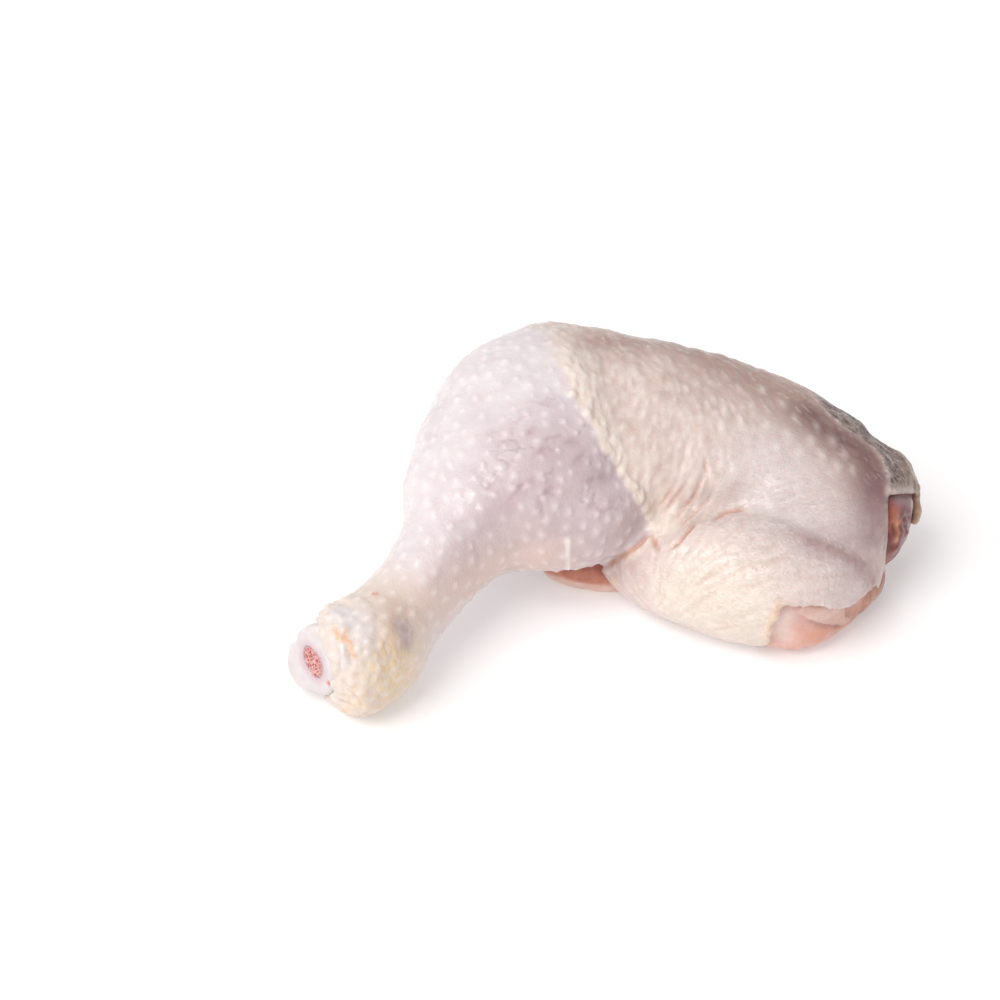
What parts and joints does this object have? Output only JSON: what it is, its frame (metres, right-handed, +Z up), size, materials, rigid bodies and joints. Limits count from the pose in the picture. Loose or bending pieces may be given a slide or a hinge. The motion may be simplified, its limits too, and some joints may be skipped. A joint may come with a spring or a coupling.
{
  "type": "raw chicken leg",
  "caption": "Raw whole chicken leg, drumstick and thigh in one piece with the skin on, bent at the knee and lying on its inner side.",
  "frame": {"origin": "middle of the leg's footprint, on the surface that it lies on", "axes": "+X from the knuckle towards the hip, +Y from the front (flap side) towards the back of the thigh, +Z up"},
  "size_m": [0.1778, 0.1322, 0.0582],
  "materials": {
    "skin": "satin",
    "meat": "gloss",
    "gristle": "satin",
    "bone": "matte"
  },
  "bodies": {
    "root": {"skin": "skin", "meat": "meat", "knuckle": "gristle", "bone": "bone"}
  },
  "joints": []
}
